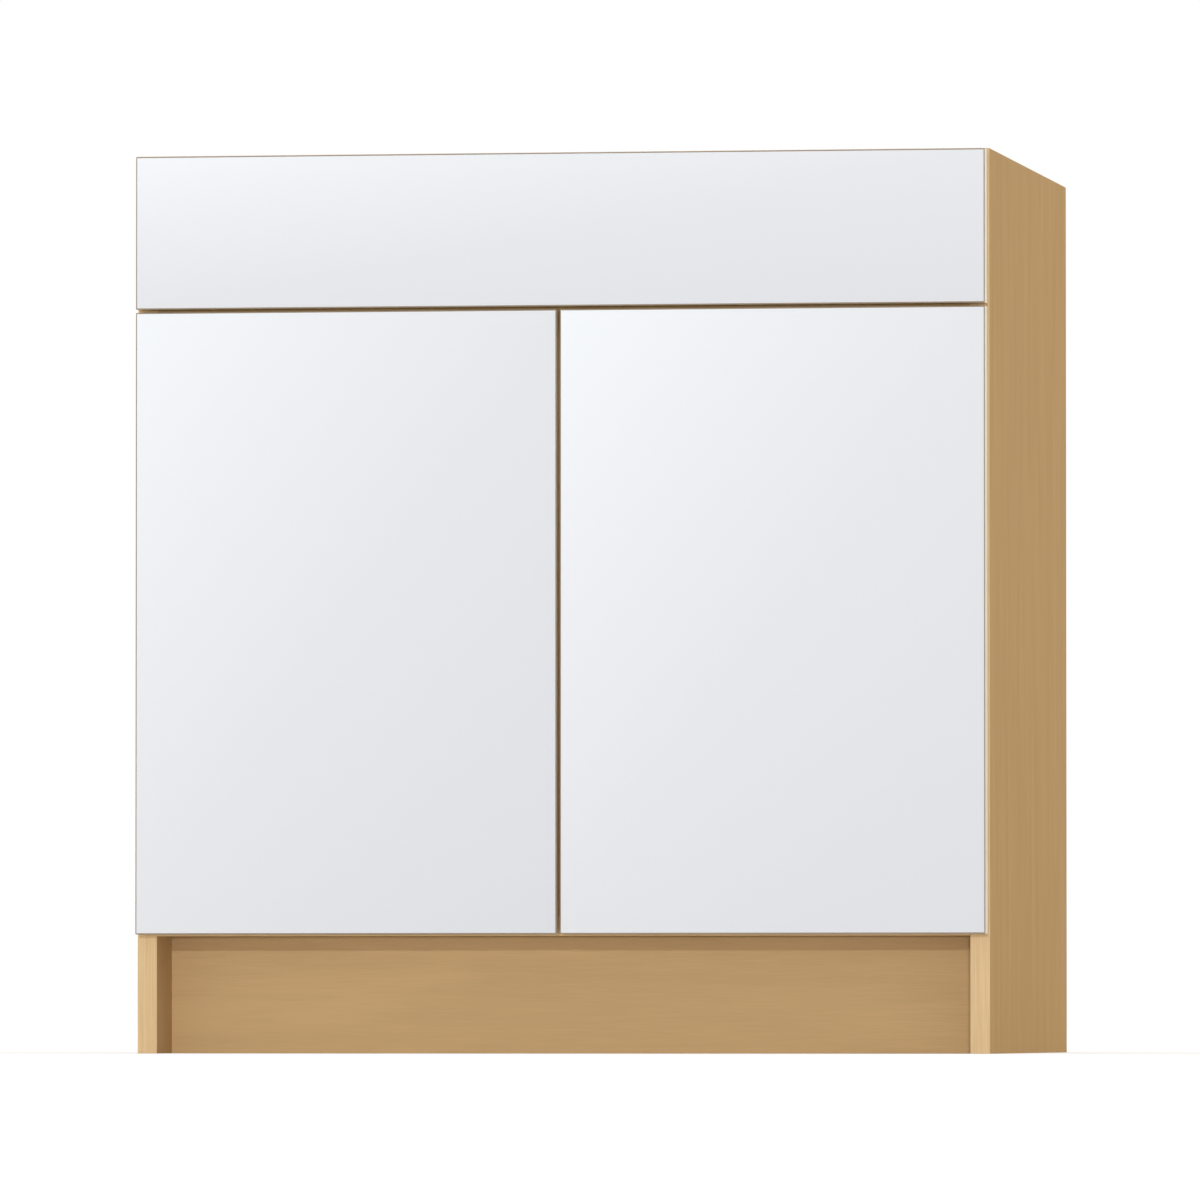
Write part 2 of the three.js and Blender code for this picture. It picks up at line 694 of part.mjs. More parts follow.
boxBoards();
toeKickCleats();
for (const [side, sign] of Object.entries(sides)) {
  for (const [end, corner] of Object.entries(braceCorners)) cornerBrace(side, sign, end, corner);
}
falseFront();
for (const [side, sign] of Object.entries(sides)) door(side, sign);

export default cabinet;
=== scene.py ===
import json
import math
import random

import bmesh
import bpy
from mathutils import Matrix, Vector
from mathutils.geometry import tessellate_polygon


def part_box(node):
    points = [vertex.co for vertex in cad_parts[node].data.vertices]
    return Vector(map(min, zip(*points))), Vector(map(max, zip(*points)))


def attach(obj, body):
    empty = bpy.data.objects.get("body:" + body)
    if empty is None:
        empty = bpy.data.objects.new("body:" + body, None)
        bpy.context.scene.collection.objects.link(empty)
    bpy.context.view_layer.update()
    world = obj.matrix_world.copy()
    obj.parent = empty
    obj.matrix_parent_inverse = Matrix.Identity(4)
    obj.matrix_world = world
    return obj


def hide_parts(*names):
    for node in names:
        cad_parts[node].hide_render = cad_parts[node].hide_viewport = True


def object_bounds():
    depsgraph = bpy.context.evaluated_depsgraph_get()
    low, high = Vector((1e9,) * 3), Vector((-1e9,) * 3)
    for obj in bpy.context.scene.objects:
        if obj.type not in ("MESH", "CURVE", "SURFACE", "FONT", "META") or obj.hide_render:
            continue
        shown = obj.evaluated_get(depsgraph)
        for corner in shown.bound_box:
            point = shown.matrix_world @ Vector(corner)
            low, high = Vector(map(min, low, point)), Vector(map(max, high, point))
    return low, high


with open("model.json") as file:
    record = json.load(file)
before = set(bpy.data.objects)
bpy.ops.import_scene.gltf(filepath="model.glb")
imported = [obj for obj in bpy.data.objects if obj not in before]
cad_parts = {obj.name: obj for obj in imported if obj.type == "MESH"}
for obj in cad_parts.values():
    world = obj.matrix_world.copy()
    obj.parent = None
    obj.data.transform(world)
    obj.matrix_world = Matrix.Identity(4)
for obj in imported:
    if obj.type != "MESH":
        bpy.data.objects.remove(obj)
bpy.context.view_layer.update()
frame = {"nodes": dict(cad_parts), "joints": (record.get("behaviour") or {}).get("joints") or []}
print("frame loaded")

scene = bpy.context.scene
mm = 0.001
axisX, axisY, axisZ = range(3)  # across, from the front to the wall, up
sides = {"left": -1, "right": 1}  # and the way each lies across
levels = ("upper", "lower")
gap = 0.1  # millimetres between a piece that is made here and the board that it lies on
random.seed(11)


# Pieces are drawn in millimetres, as shells: a shell is its points and its faces
def mapped(shell, place):
    points, faces = shell
    return [place(*point) for point in points], faces


def joined(*shells):
    points, faces = [], []
    for morePoints, moreFaces in shells:
        faces += [[index + len(points) for index in face] for face in moreFaces]
        points += morePoints
    return points, faces


# Each corner of an outline is [across, up, radius]; a radius turns it into an arc
def rounded(corners, steps=6):
    outline = []
    for i, (a, b, radius) in enumerate(corners):
        here = Vector((a, b))
        before = (Vector(corners[i - 1][:2]) - here).normalized()
        after = (Vector(corners[(i + 1) % len(corners)][:2]) - here).normalized()
        if radius == 0:
            outline.append(here)
            continue
        half = before.angle(after) / 2
        middle = here + (before + after).normalized() * (radius / math.sin(half))
        start = here + before * (radius / math.tan(half)) - middle
        end = here + after * (radius / math.tan(half)) - middle
        turn = math.atan2(start.x * end.y - start.y * end.x, start.dot(end))
        for k in range(steps + 1):
            angle = turn * k / steps
            cos, sin = math.cos(angle), math.sin(angle)
            outline.append(middle + Vector((start.x * cos - start.y * sin, start.x * sin + start.y * cos)))
    return outline


def circle(a, b, radius, steps=32, start=0, turn=360):
    closed = abs(turn) == 360
    angles = [math.radians(start + turn * k / steps) for k in range(steps if closed else steps + 1)]
    return [Vector((a + radius * math.cos(t), b + radius * math.sin(t))) for t in angles]


# The angles of a quarter turn in equal steps, from the first step that is wanted
def quarterTurn(steps, first=1):
    return [math.radians(90 / steps * k) for k in range(first, steps + 1)]


# The outline moved inwards by a distance, each corner along its mitre
def inset(outline, distance):
    pairs = zip(outline, outline[1:] + outline[:1])
    inward = math.copysign(1, sum(p.x * q.y - q.x * p.y for p, q in pairs)) * distance
    moved = []
    for i, here in enumerate(outline):
        before = (here - outline[i - 1]).normalized()
        after = (outline[(i + 1) % len(outline)] - here).normalized()
        mitre = Vector((-before.y - after.y, before.x + after.x)).normalized()
        moved.append(here + mitre * (inward / mitre.dot(Vector((-before.y, before.x)))))
    return moved


# A plate cut to an outline, with holes, and with its edges rounded over. An end without holes stays
# one face.
def prism(outline, low, high, edge=0, holes=(), edgeSteps=3):
    turns = [math.pi / 2 * k / edgeSteps for k in range(edgeSteps + 1)] if edge else [math.pi / 2]
    rings = [(edge * (1 - math.sin(t)), low + edge * (1 - math.cos(t))) for t in turns]
    rings += [(shrink, low + high - height) for shrink, height in reversed(rings)]
    points, faces, loops = [], [], []
    for loop, way in [(outline, 1)] + [(hole, -1) for hole in holes]:
        size = len(loop)
        ids = []
        for shrink, height in rings:
            ids.append(range(len(points), len(points) + size))
            points += [(p.x, p.y, height) for p in inset(loop, way * shrink)]
        for lower, upper in zip(ids, ids[1:]):
            for k in range(size):
                after = (k + 1) % size
                faces.append([lower[k], lower[after], upper[after], upper[k]])
        loops.append(ids)
    for end in (0, -1):
        flat = [index for ids in loops for index in ids[end]]
        drawn = [[Vector(points[index]) for index in ids[end]] for ids in loops]
        triangles = tessellate_polygon(drawn) if holes else [range(len(flat))]
        faces += [[flat[k] for k in triangle] for triangle in triangles]
    return points, faces


# A profile of [radius, height] from pole to pole, turned round the upright axis
def lathe(profile, steps=32):
    points, faces, rings = [], [], []
    for radius, height in profile:
        if radius == 0:
            rings.append([len(points)])
            points.append((0, 0, height))
            continue
        rings.append(range(len(points), len(points) + steps))
        points += [(p.x, p.y, height) for p in circle(0, 0, radius, steps)]
    for lower, upper in zip(rings, rings[1:]):
        for k in range(steps):
            face = [lower[k % len(lower)], lower[(k + 1) % len(lower)],
                    upper[(k + 1) % len(upper)], upper[k % len(upper)]]
            faces.append(list(dict.fromkeys(face)))
    return points, faces


# A ridge wound round a shank, rooted inside it, and fading in and out at its ends
def thread(radius, rise, pitch, low, high, steps=16):
    count = int((high - low) / pitch * steps)
    root, halfWidth = 0.9 * radius, 0.3 * pitch
    points, faces = [], []
    for k in range(count + 1):
        angle = 2 * math.pi * k / steps
        height = low + pitch * k / steps
        crest = radius + rise * min(1, k / steps, (count - k) / steps)
        for reach, lift in ((root, -halfWidth), (crest, 0), (root, halfWidth)):
            points.append((reach * math.cos(angle), reach * math.sin(angle), height + lift))
        if k < count:
            base = 3 * k
            for edge in range(3):
                after = (edge + 1) % 3
                faces.append([base + edge, base + after, base + 3 + after, base + 3 + edge])
    faces += [[0, 1, 2], [3 * count, 3 * count + 1, 3 * count + 2]]
    return points, faces


def looseObject(name, shell):
    bm = bmesh.new()
    points = [bm.verts.new(point) for point in shell[0]]
    for face in shell[1]:
        bm.faces.new([points[index] for index in face])
    bmesh.ops.recalc_face_normals(bm, faces=bm.faces)
    mesh = bpy.data.meshes.new(name)
    bm.to_mesh(mesh)
    bm.free()
    made = bpy.data.objects.new(name, mesh)
    scene.collection.objects.link(made)
    return made


def combined(shell, tool, operation):
    pair = [looseObject("drawing", drawn) for drawn in (shell, tool)]
    step = pair[0].modifiers.new("step", "BOOLEAN")
    step.operation, step.object, step.solver = operation, pair[1], "EXACT"
    bpy.context.view_layer.update()
    mesh = pair[0].evaluated_get(bpy.context.evaluated_depsgraph_get()).to_mesh()
    points = [tuple(vertex.co) for vertex in mesh.vertices]
    faces = [list(polygon.vertices) for polygon in mesh.polygons]
    for each in pair:
        bpy.data.meshes.remove(each.data)
    return points, faces


past = 1  # millimetre; a cutting shape reaches this or a few times this past what it cuts


def carved(shell, *tools):
    for tool in tools:
        shell = combined(shell, tool, "DIFFERENCE")
    return shell


# Materials take their colors as sRGB hex values
def linear(code):
    channels = [int(code[i:i + 2], 16) / 255 for i in (1, 3, 5)]
    return tuple(c / 12.92 if c <= 0.04045 else ((c + 0.055) / 1.055) ** 2.4 for c in channels) + (1,)


# One node: its kind, without the ShaderNode that each starts with, its fixed values, what feeds it (a
# socket, or a node's first one), the stops of a ramp, and its settings
def addNode(tree, kind, values=None, links=None, stops=None, **settings):
    made = tree.nodes.new("ShaderNode" + kind)
    for name, value in settings.items():
        setattr(made, name, value)
    for name, value in (values or {}).items():
        made.inputs[name].default_value = value
    for name, source in (links or {}).items():
        output = source.outputs[0] if hasattr(source, "outputs") else source
        tree.links.new(output, made.inputs[name])
    for i, (place, color) in enumerate(stops or []):
        element = made.color_ramp.elements[i] if i < 2 else made.color_ramp.elements.new(place)
        element.position, element.color = place, linear(color)
    return made


mixA, mixB, mixed = 6, 7, 2  # a color Mix node's sockets
mixNumberA, mixNumberB = 2, 3  # and a number Mix node's


def startMaterial(name):
    made = bpy.data.materials.new(name)
    made.use_nodes = True
    made.node_tree.nodes.clear()
    return made, made.node_tree


def finishMaterial(made, shader):
    addNode(made.node_tree, "OutputMaterial", links={"Surface": shader})
    return made


# The scale of a pattern whose grains are this many millimetres
def scaleFor(size):
    return 1 / (size * mm)


# A noise drawn out along one axis
def grainAlong(tree, places, axis, width, length, values):
    scale = [scaleFor(length if k == axis else width) for k in range(3)]
    stretched = addNode(tree, "Mapping", {"Scale": scale}, {"Vector": places.outputs["Object"]})
    return addNode(tree, "TexNoise", {"Scale": 1} | values, {"Vector": stretched})


facing = 0.6  # a surface within 53 degrees of an axis counts as facing along it
noiseStops = (0.3, 0.7)  # where a noise starts and ends its run between two colors


# 1 on the surfaces that face along the axis, either way, and 0 on the rest
def facesAlong(tree, places, axis):
    normal = addNode(tree, "SeparateXYZ", links={0: places.outputs["Normal"]})
    share = addNode(tree, "Math", links={0: normal.outputs[axis]}, operation="ABSOLUTE")
    return addNode(tree, "Math", {1: facing}, {0: share}, operation="GREATER_THAN")


maplePly = {
    # dark and light grain of the veneers, and where the pattern starts and ends its run between them. The
    # outside veneer is painted darker, as painted shade on the outer sides, and the toe board's is painted
    # lighter, as painted light against the shade in its recess
    "inside": ("#c4a376", "#cfae80"), "outside": ("#bc9865", "#c7a26e"), "toe": ("#c9a97c", "#d3b283"),
    "toneStops": (0.36, 0.64),
    # the sawn edge; the shares are of a ply's thickness and of the face's grain in the plies' color
    "plyLight": "#dcc299", "plyDark": "#a9855a", "glue": "#6d5237", "plies": 9, "plyThickness": 2.1167,
    "glueShare": 0.06, "streakShare": 0.35,
    # real fibres are 0.2 mm wide, too fine to show, so they are drawn wider
    "fibreWidth": 0.9, "fibreLength": 42, "fibreDepth": 0.08, "fibreShare": 0.55,
    "figureWidth": 26, "figureLength": 240,
    "faceRoughness": 0.7, "sawnRoughness": 0.8, "fibreRoughness": 0.14,
}


# Maple plywood: sliced veneer under a rolled satin lacquer. The faces are a calm tan with a fine
# straight grain and a low sheen; the sawn edges show the plies, dull and striped.
def maplePlywood(name, veneers, low, thick, grain):
    sizes = maplePly
    made, tree = startMaterial(name)
    places = addNode(tree, "TexCoord")
    fibre = grainAlong(tree, places, grain, sizes["fibreWidth"], sizes["fibreLength"],
                       {"Detail": 3, "Roughness": 0.6})
    figure = grainAlong(tree, places, grain, sizes["figureWidth"], sizes["figureLength"],
                        {"Detail": 2, "Distortion": 0.6})
    fine = addNode(tree, "Math", {1: sizes["fibreShare"]}, {0: fibre}, operation="MULTIPLY")
    tone = addNode(tree, "Math", {1: 1 - sizes["fibreShare"]}, {0: figure, 2: fine},
                   operation="MULTIPLY_ADD")
    # the veneers include the outer one, painted darker as shade, and the toe board's, painted lighter as
    # light
    lowFace, highFace = [addNode(tree, "ValToRGB", links={0: tone},
                                 stops=zip(sizes["toneStops"], sizes[veneer])) for veneer in veneers]
    axes = addNode(tree, "SeparateXYZ", links={0: places.outputs["Object"]})
    deep = addNode(tree, "Math", {1: low}, {0: axes.outputs[thick]}, operation="SUBTRACT")
    layer = addNode(tree, "Math", {1: sizes["plyThickness"] * mm}, {0: deep}, operation="DIVIDE")
    number = addNode(tree, "Math", links={0: layer}, operation="FLOOR")
    isHigh = addNode(tree, "Math", {1: sizes["plies"] / 2}, {0: number}, operation="GREATER_THAN")
    face = addNode(tree, "Mix", links={0: isHigh, mixA: lowFace, mixB: highFace}, data_type="RGBA")

    # every other ply is crossed, and a glue line lies between two
    crossed = addNode(tree, "Math", {1: 1}, {0: number}, operation="PINGPONG")
    plies = addNode(tree, "Mix", {mixA: linear(sizes["plyLight"]), mixB: linear(sizes["plyDark"])},
                    {0: crossed}, data_type="RGBA")
    streaks = addNode(tree, "Mix", {0: sizes["streakShare"]},
                      {mixA: plies.outputs[mixed], mixB: face.outputs[mixed]}, data_type="RGBA")
    within = addNode(tree, "Math", links={0: layer}, operation="FRACT")
    line = addNode(tree, "Math", {1: sizes["glueShare"]}, {0: within}, operation="LESS_THAN")
    sawn = addNode(tree, "Mix", {mixB: linear(sizes["glue"])}, {0: line, mixA: streaks.outputs[mixed]},
                   data_type="RGBA")

    isFace = facesAlong(tree, places, thick)
    color = addNode(tree, "Mix", links={0: isFace, mixA: sawn.outputs[mixed], mixB: face.outputs[mixed]},
                    data_type="RGBA")
    dull = addNode(tree, "MapRange", {"To Min": sizes["sawnRoughness"], "To Max": sizes["faceRoughness"]},
                   {0: isFace})
    rough = addNode(tree, "Math", {1: sizes["fibreRoughness"]}, {0: fibre, 2: dull},
                    operation="MULTIPLY_ADD")
    bump = addNode(tree, "Bump", {"Strength": 0.25, "Distance": sizes["fibreDepth"] * mm},
                   {"Height": fibre})
    shader = addNode(tree, "BsdfPrincipled", {"IOR": 1.5, "Specular IOR Level": 0.03},
                     {"Base Color": color.outputs[mixed], "Roughness": rough, "Normal": bump})
    return finishMaterial(made, shader)


edgeTape = {
    "colors": ("#d3b180", "#debe8c"), "stops": (0.35, 0.62), "roughness": 0.42,
    # a real print's lines are half as wide, too fine to show
    "lineWidth": 0.7, "lineLength": 60, "lineDepth": 0.04,
}


# Maple-print edge tape: extruded PVC with a printed grain along it, paler and smoother than the
# board, with a soft waxy shine.
def printedMapleTape(name, along):
    made, tree = startMaterial(name)
    places = addNode(tree, "TexCoord")
    printed = grainAlong(tree, places, along, edgeTape["lineWidth"], edgeTape["lineLength"], {"Detail": 2})
    color = addNode(tree, "ValToRGB", links={0: printed}, stops=zip(edgeTape["stops"], edgeTape["colors"]))
    bump = addNode(tree, "Bump", {"Strength": 0.15, "Distance": edgeTape["lineDepth"] * mm},
                   {"Height": printed})
    shader = addNode(tree, "BsdfPrincipled",
                     {"Roughness": edgeTape["roughness"], "IOR": 1.53, "Specular IOR Level": 0.3},
                     {"Base Color": color, "Normal": bump})
    return finishMaterial(made, shader)


whiteLaminate = {
    # a painted sheen, from a front's upper left corner to its lower right one
    "shade": [(0, "#f7fafd"), (0.25, "#eef0f3"), (0.5, "#e7e8eb"), (0.75, "#e3e4e8"), (1, "#e0e1e5")],
    "core": ("#a98a66", "#c4a47e"), "coreGrit": 0.8, "peelSize": 2.2, "peelDepth": 0.05,
    "faceRoughness": 0.16, "coreRoughness": 0.85,
}


# Gloss acrylic laminate on fibreboard: pressed against a polished sheet, so it is smooth and bright with
# the faintest orange peel. Each front carries a painted sheen, from a cold white at its upper left to a
# light grey.
def glossLaminate(name, low, high):
    sizes = whiteLaminate
    made, tree = startMaterial(name)
    places = addNode(tree, "TexCoord")
    axes = addNode(tree, "SeparateXYZ", links={0: places.outputs["Object"]})
    # painted sheen: a colour ramp that runs diagonally across each front, from its upper left to its lower
    # right
    across = addNode(tree, "MapRange", {"From Min": low.x, "From Max": high.x, "To Max": 0.5},
                     {0: axes.outputs["X"]})
    down = addNode(tree, "MapRange", {"From Min": high.z, "From Max": low.z, "To Max": 0.5},
                   {0: axes.outputs["Z"]})
    diagonal = addNode(tree, "Math", links={0: across, 1: down})
    shade = addNode(tree, "ValToRGB", links={0: diagonal}, stops=sizes["shade"])
    grit = addNode(tree, "TexNoise", {"Scale": scaleFor(sizes["coreGrit"])},
                   {"Vector": places.outputs["Object"]})
    coreDark, coreLight = [linear(code) for code in sizes["core"]]
    core = addNode(tree, "Mix", {mixA: coreDark, mixB: coreLight}, {0: grit}, data_type="RGBA")
    isFace = facesAlong(tree, places, axisY)
    color = addNode(tree, "Mix", links={0: isFace, mixA: core.outputs[mixed], mixB: shade},
                    data_type="RGBA")
    rough = addNode(tree, "MapRange", {"To Min": sizes["coreRoughness"], "To Max": sizes["faceRoughness"]},
                    {0: isFace})
    peel = addNode(tree, "TexNoise", {"Scale": scaleFor(sizes["peelSize"]), "Detail": 1},
                   {"Vector": places.outputs["Object"]})
    bump = addNode(tree, "Bump", {"Strength": 0.06, "Distance": sizes["peelDepth"] * mm}, {"Height": peel})
    shader = addNode(tree, "BsdfPrincipled", {"IOR": 1.49},
                     {"Base Color": color.outputs[mixed], "Roughness": rough, "Normal": bump})
    return finishMaterial(made, shader)


doorEdging = {
    # dark and light of the maple print, painted pale so the gaps between the fronts read lighter, and of
    # the line along the front, a painted shade line where the front's edge shows dark
    "strip": ("#e0cea7", "#f3e8ce"), "line": ("#9f8c75", "#aa9780"), "shadeLineHeight": 1.3, "roughness": 0.4,
    # the print's lines and the scraper's marks are finer than this, too fine to show
    "printWidth": 0.8, "printLength": 55, "scrapeSize": 0.6, "scrapeDepth": 0.03,
}


# ABS edging: a strip with a maple print that runs along it, painted pale as light in the gaps, and a greige
# line by the front's face that is painted shade along the front's edge. It is scraped flush, so it is satin
# with a fine grain.
def absEdgingWithPaintedShadeLine(name, frontY):
    sizes = doorEdging
    made, tree = startMaterial(name)
    places = addNode(tree, "TexCoord")
    uprightPrint, levelPrint = [grainAlong(tree, places, along, sizes["printWidth"], sizes["printLength"],
                                           {"Detail": 2}) for along in (axisZ, axisX)]
    isLevel = facesAlong(tree, places, axisZ)
    printed = addNode(tree, "Mix", links={0: isLevel, mixNumberA: uprightPrint, mixNumberB: levelPrint})
    scraped = addNode(tree, "TexNoise", {"Scale": scaleFor(sizes["scrapeSize"]), "Detail": 2},
                      {"Vector": places.outputs["Object"]})
    strip, line = [addNode(tree, "ValToRGB", links={0: pattern}, stops=zip(noiseStops, sizes[part]))
                   for part, pattern in (("strip", printed), ("line", scraped))]
    axes = addNode(tree, "SeparateXYZ", links={0: places.outputs["Object"]})
    # painted shade: the greige line along the front's edge, in front of the pale print
    behind = addNode(tree, "Math", {1: frontY + sizes["shadeLineHeight"] * mm}, {0: axes.outputs["Y"]},
                     operation="GREATER_THAN")
    color = addNode(tree, "Mix", links={0: behind, mixA: line, mixB: strip}, data_type="RGBA")
    bump = addNode(tree, "Bump", {"Strength": 0.1, "Distance": sizes["scrapeDepth"] * mm},
                   {"Height": scraped})
    shader = addNode(tree, "BsdfPrincipled", {"Roughness": sizes["roughness"], "IOR": 1.54},
                     {"Base Color": color.outputs[mixed], "Normal": bump})
    return finishMaterial(made, shader)


platings = {
    # dark and light of the plating, and its grain, which is drawn coarser than real so that it shows
    "nickelPlatedSteel": {"colors": ("#bcb9b1", "#cdcbc4"), "roughness": 0.3, "grain": 0.35},
    "zincPlatedSteel": {"colors": ("#aeb2b8", "#c3c6ca"), "roughness": 0.36, "grain": 0.3},
}
platingLook = {"cloudSize": 7, "duller": 0.1, "shinier": 0.08, "grainDepth": 0.02}


# Plated steel: pressed or rolled, then plated, so a bright metal, a little cloudy, with a fine grain.
def platedSteel(name):
    plating = platings[name]
    made, tree = startMaterial(name)
    place = addNode(tree, "TexCoord").outputs["Object"]
    cloud = addNode(tree, "TexNoise", {"Scale": scaleFor(platingLook["cloudSize"]), "Detail": 3},
                    {"Vector": place})
    color = addNode(tree, "ValToRGB", links={0: cloud}, stops=zip(noiseStops, plating["colors"]))
    fine = addNode(tree, "TexNoise", {"Scale": scaleFor(plating["grain"]), "Detail": 2},
                   {"Vector": place})
    shinier = plating["roughness"] - platingLook["shinier"]
    duller = plating["roughness"] + platingLook["duller"]
    rough = addNode(tree, "MapRange", {"To Min": shinier, "To Max": duller}, {0: cloud})
    bump = addNode(tree, "Bump", {"Strength": 0.12, "Distance": platingLook["grainDepth"] * mm},
                   {"Height": fine})
    shader = addNode(tree, "BsdfPrincipled", {"Metallic": 1},
                     {"Base Color": color, "Roughness": rough, "Normal": bump})
    return finishMaterial(made, shader)


braceNylon = {
    "colors": ("#e0ddd5", "#e9e6df"), "flowSize": 18, "roughness": 0.5,
    # a spark-eroded pebble is about 0.2 mm, too fine to show
    "pebbleSize": 0.7, "pebbleDepth": 0.05,
}


# Nylon: injection moulded in a spark-eroded tool, so an off-white with a fine matt pebble.
def mouldedNylon():
    made, tree = startMaterial("mouldedNylon")
    place = addNode(tree, "TexCoord").outputs["Object"]
    pebble = addNode(tree, "TexVoronoi", {"Scale": scaleFor(braceNylon["pebbleSize"])}, {"Vector": place})
    flow = addNode(tree, "TexNoise", {"Scale": scaleFor(braceNylon["flowSize"]), "Detail": 2},
                   {"Vector": place})
    color = addNode(tree, "ValToRGB", links={0: flow}, stops=zip(noiseStops, braceNylon["colors"]))
    bump = addNode(tree, "Bump", {"Strength": 0.2, "Distance": braceNylon["pebbleDepth"] * mm},
                   {"Height": pebble.outputs["Distance"]})
    shader = addNode(tree, "BsdfPrincipled", {"Roughness": braceNylon["roughness"], "IOR": 1.53},
                     {"Base Color": color, "Normal": bump})
    return finishMaterial(made, shader)


bumperGel = {"color": "#eef2f3", "hazeSize": 3, "roughness": (0.1, 0.3)}


# Polyurethane: cast clear domes, soft and a little hazy, so they show what is behind them, blurred.
def castClearPolyurethane():
    made, tree = startMaterial("castClearPolyurethane")
    place = addNode(tree, "TexCoord").outputs["Object"]
    haze = addNode(tree, "TexNoise", {"Scale": scaleFor(bumperGel["hazeSize"])}, {"Vector": place})
    smoothest, roughest = bumperGel["roughness"]
    rough = addNode(tree, "MapRange", {"To Min": smoothest, "To Max": roughest}, {0: haze})
    shader = addNode(tree, "BsdfPrincipled",
                     {"Base Color": linear(bumperGel["color"]), "IOR": 1.5, "Transmission Weight": 1},
                     {"Roughness": rough})
    return finishMaterial(made, shader)


tape = {axis: printedMapleTape(f"printedMapleTape{'XYZ'[axis]}", axis) for axis in (axisX, axisZ)}
nickelSteel = platedSteel("nickelPlatedSteel")
zincSteel = platedSteel("zincPlatedSteel")
nylon = mouldedNylon()
clearPad = castClearPolyurethane()
print("materials made")


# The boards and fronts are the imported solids, with eased edges and their finishes
inner = ("inside", "inside")
boards = {
    # the veneers on the low and high faces, the axis it is thick along, and the one its grain runs along
    # the outer faces of the sides take the veneer painted darker, as painted shade
    "left_side_panel": (("outside", "inside"), axisX, axisZ),
    "right_side_panel": (("inside", "outside"), axisX, axisZ),
    "bottom_panel": (inner, axisZ, axisX),
    "back_panel": (inner, axisY, axisZ),
    "sink_rail": (inner, axisY, axisX),
    "rear_top_nailer": (inner, axisY, axisX),
    "rear_bottom_nailer": (inner, axisY, axisX),
    # the toe board's veneer is painted lighter, as painted light against the shade of its recess
    "toe_kick_board": (("toe", "toe"), axisY, axisX),
    "rear_sleeper": (inner, axisY, axisX),
    "left_toe_kick_cleat": (inner, axisX, axisZ),
    "right_toe_kick_cleat": (inner, axisX, axisZ),
}
tapes = {
    "left_side_edge_band": axisZ,
    "right_side_edge_band": axisZ,
    "bottom_panel_edge_band": axisX,
    "sink_rail_edge_band": axisX,
}
fronts = ("false_front", "left_door", "right_door")
easing = {
    # width of the eased edges, and how near two points are one
    "board": 0.35, "tape": 0.3, "laminate": 0.1, "edging": 0.6, "weld": 0.005,
    # steps across an edge, and the angles in degrees up to which a seam is flat and no edge is eased
    "steps": 3, "flatSeam": 1, "blunt": 60,
}


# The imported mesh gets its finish, is freed of its flat seams, and has its real edges rounded over
def dress(node, material, width):
    made = frame["nodes"][node]
    made.data.materials.clear()
    made.data.materials.append(material)
    made.modifiers.new("weld", "WELD").merge_threshold = easing["weld"] * mm
    flat = made.modifiers.new("flat", "DECIMATE")
    flat.decimate_type, flat.angle_limit = "DISSOLVE", math.radians(easing["flatSeam"])
    edge = made.modifiers.new("edge", "BEVEL")
    edge.width, edge.segments, edge.limit_method = width * mm, easing["steps"], "ANGLE"
    edge.angle_limit = math.radians(easing["blunt"])


for node, (veneers, thick, grain) in boards.items():
    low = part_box(node)[0][thick]
    dress(node, maplePlywood("maplePlywood_" + node, veneers, low, thick, grain), easing["board"])
for node, along in tapes.items():
    dress(node, tape[along], easing["tape"])
for front in fronts:
    low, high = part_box(front + "_edge_band")
    dress(front + "_panel", glossLaminate("glossLaminate_" + front, low, high), easing["laminate"])
    dress(front + "_edge_band", absEdgingWithPaintedShadeLine("absEdgingWithPaintedShadeLine_" + front, low.y), easing["edging"])
print("boards and fronts dressed")


# The other pieces are made here. One that stands for left_upper_hinge_cup is leftUpperHingeCup.
def pieceName(node):
    first, *others = node.split("_")
    return first + "".join(word.title() for word in others)


sharpEdge = 35  # degrees from which an edge is shaded sharp


def addPiece(name, shell, material, body, replaced=(), at=(0, 0, 0)):
    made = looseObject(name, mapped(shell, lambda x, y, z: (x * mm, y * mm, z * mm)))
    made.data.materials.append(material)
    for polygon in made.data.polygons:
        polygon.use_smooth = True
    made.data.set_sharp_from_angle(angle=math.radians(sharpEdge))
    made.location = at
    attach(made, body)
    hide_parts(*replaced)


screwSizes = {
    "plate": {"head": 4, "rise": 1.6, "shank": 2.3, "length": 15.9, "pitch": 2.4},
    "cup": {"head": 4, "rise": 1.1, "shank": 1.7, "length": 11.2, "pitch": 1.8},
    "arm": {"head": 3.6, "rise": 1, "shank": 2, "length": 15.5, "pitch": 0.9},
    "brace": {"head": 4, "rise": 2.2, "shank": 1.8, "length": 18.2, "pitch": 1.8},
    "front": {"head": 4, "rise": 2.2, "shank": 2.2, "length": 34, "pitch": 2.2},
}
screwShape = {
    # shares of the head's rise: where its crown starts, its rim and its recess
    "crown": 0.35, "rim": 0.15, "recessDepth": 0.72,
    # shares of the head's radius: the recess's arms
    "recessArm": 0.62, "recessWidth": 0.24,
    # the tip's length in radii of the shank, and millimetres
    "tip": 2, "rimBevel": 0.15, "threadRise": 0.35,
}


